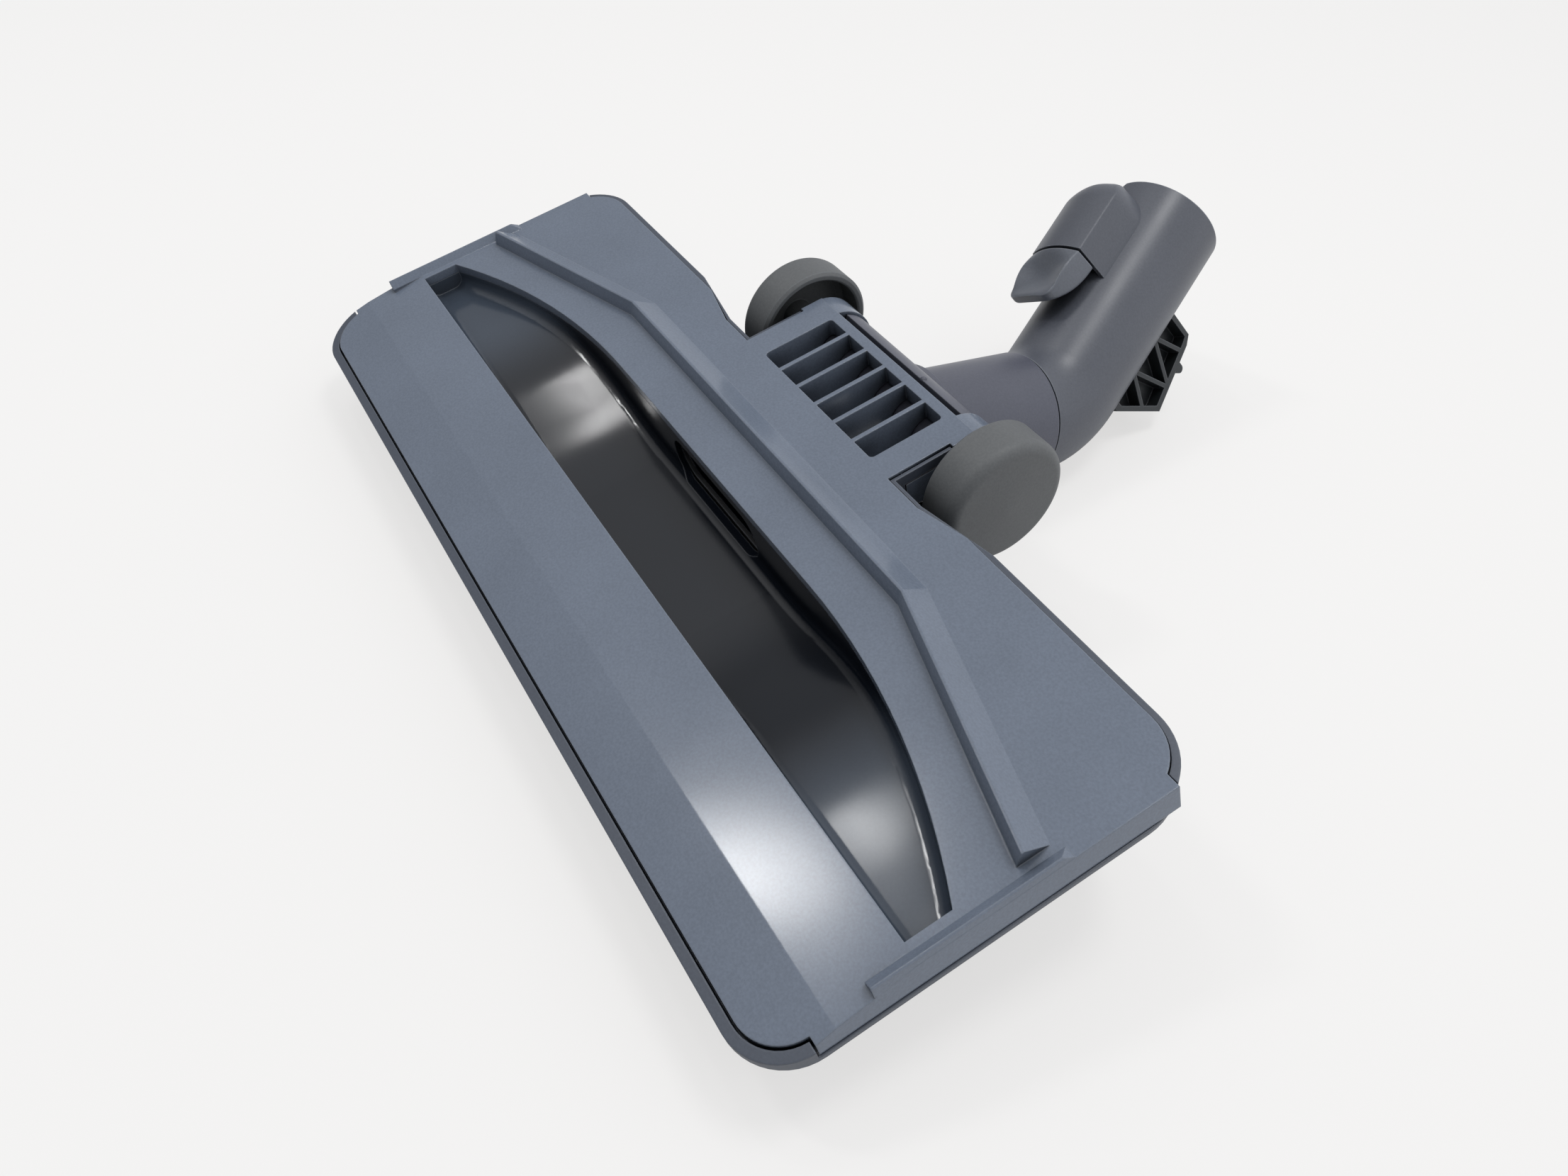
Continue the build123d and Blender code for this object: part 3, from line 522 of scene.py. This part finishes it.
def beak_section(s):
    """The beak at share s of its length: half width, and the heights of its rim, its middle and its underside.

    In millimetres: its half width narrows by 2 and again by 2 at the tip, its rim bows up by 0.9 and falls by
    0.3, its crown falls by 2.2 and is dished by 2.5, and its underside rises by 5.1.
    """
    half = 9.9 - 2.0 * s ** 3
    if s > tip_start:
        half -= 2.0 * (1 - sqrt(max(1 - ((s - tip_start) / (1 - tip_start)) ** 2, 0)))
    rim = 27.7 + 0.9 * sin(pi * min(s / 0.75, 1)) - 0.3 * s * s
    crown = 29.9 - 2.2 * s
    dip = 2.5 * sin(pi * min(max((s - 0.04) / 0.92, 0), 1)) ** 1.3
    under = 19.8 + 5.1 * s ** 2.3
    return half * mm, rim * mm, (crown - dip) * mm, under * mm


# Half of each ring goes out along the underside, round its edge, up the side, over the rim and into the dish.
beak_rings = []
stations = [0, 0.015, 0.04] + [0.04 + (tip_start - 0.04) * i / 14 for i in range(1, 15)] + \
           [tip_start + (1 - tip_start) * sin(pi / 2 * i / 8) for i in range(1, 9)]
rim_edge, low_edge = beak["rim_edge"], beak["low_edge"]
for s in stations:
    y = beak["heel"] - beak["length"] * s
    ease = 0.3 * mm if s == 0 else 0
    half, rim, middle, under = beak_section(s)
    half, rim, middle, under = half - ease, rim - ease, middle - ease, under + ease
    over = [(half - rim_edge * (1 - cos(a)), rim - rim_edge * (1 - sin(a)))
            for a in (radians(70) * i / 5 for i in range(6))]
    edge_x, edge_z = over[-1]
    dish = [(edge_x * (1 - i / 10), edge_z + (middle - edge_z) * (1 - (1 - i / 10) ** 2)) for i in range(1, 11)]
    low_half = half + beak["flare"] * (1 - s)
    low_z, high_z = under + low_edge, rim - rim_edge
    side = [(low_half + (half - low_half) * i / 5, low_z + (high_z - low_z) * i / 5) for i in range(5)]
    below = [(low_half - low_edge * (1 - sin(a)), under + low_edge * (1 - cos(a)))
             for a in (pi / 2 * i / 4 for i in range(4))]
    half_ring = [(0, under), (low_half / 2, under)] + below + side + over + dish
    ring = [(x, y, z) for x, z in half_ring] + [(-x, y, z) for x, z in reversed(half_ring[1:-1])]
    beak_rings.append(ring)


def closing_rings(ring):
    """Two rings that close a hole: one half way in to its middle, and one at the middle itself."""
    middle = [sum(point[k] for point in ring) / len(ring) for k in range(3)]
    return [[tuple(m + (p - m) * share for p, m in zip(point, middle)) for point in ring]
            for share in (0.5, 0.0)]


beak_rings = closing_rings(beak_rings[0])[::-1] + beak_rings + closing_rings(beak_rings[-1])
beak_points = on_socket([point for ring in beak_rings for point in ring])
button = add_mesh("latch_press_button", beak_points, skin(beak_rings, True))
weld(button)


def prism_across(name, profile, half_width):
    """A closed prism: a profile of (outward, up) millimetres at the socket's mouth, drawn across it."""
    rings = [[(x, y * mm, z * mm) for y, z in profile] for x in (-half_width, half_width)]
    count = len(profile)
    piece = add_mesh(name, on_socket([p for ring in rings for p in ring]),
                     skin(rings, True) + [tuple(range(count)), tuple(range(2 * count - 1, count - 1, -1))])
    weld(piece)
    return piece


arm_half, nose_half, pivot_radius = 6.5 * mm, 3.5 * mm, 2.8 * mm
arm = [(-37.4, 20.4), (-19.0, 20.4), (-19.0, 24.0), (-37.4, 24.0)]
nose = [(-24.5, 21.0), (-24.5, 16.2), (-21.5, 16.2), (-19.5, 18.2), (-19.5, 21.0)]
join_inside(button, prism_across("arm", arm, arm_half))
join_inside(button, prism_across("nose", nose, nose_half))
join_inside(button, rod_across("pivot", pivot_radius, -arm_half, arm_half))
smooth_by_angle(button)
button.data.materials.append(moulded("satin_grey_abs_button", "#5f636b", 0.34, grain_depth=0.012, edge=0.8))
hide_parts("latch_button")
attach(button, "latch_button")

# ---- Parking hook ----
# The hook that parks the head on the cleaner's body, on the far side of the socket from the latch.
# It is moulded in black nylon, ribbed for strength, and fixed to the tube's wall.
finish(["parking_hook"], moulded("black_nylon", "#24282b", 0.4, grain_depth=0.01))

# ---- Inner pieces ----
# Pale acetal bushes, washers and swivel ring; rubber seals, and a foam gasket that is drawn as rubber too.
# The axle and the latch's pin and spring are bright drawn steel. Little of any of them shows from outside.
finish(["axle_bushes", "wheel_washers", "swivel_ring"], moulded("natural_acetal", "#d8d5ca", 0.35))
finish(["duct_gasket", "swivel_seal", "socket_seal"], rubber)
steel = moulded("drawn_steel", "#9a9a9a", 0.3, speckle=0.03, metallic=1.0)
finish(["axle_rod", "latch_pin", "latch_spring"], steel)
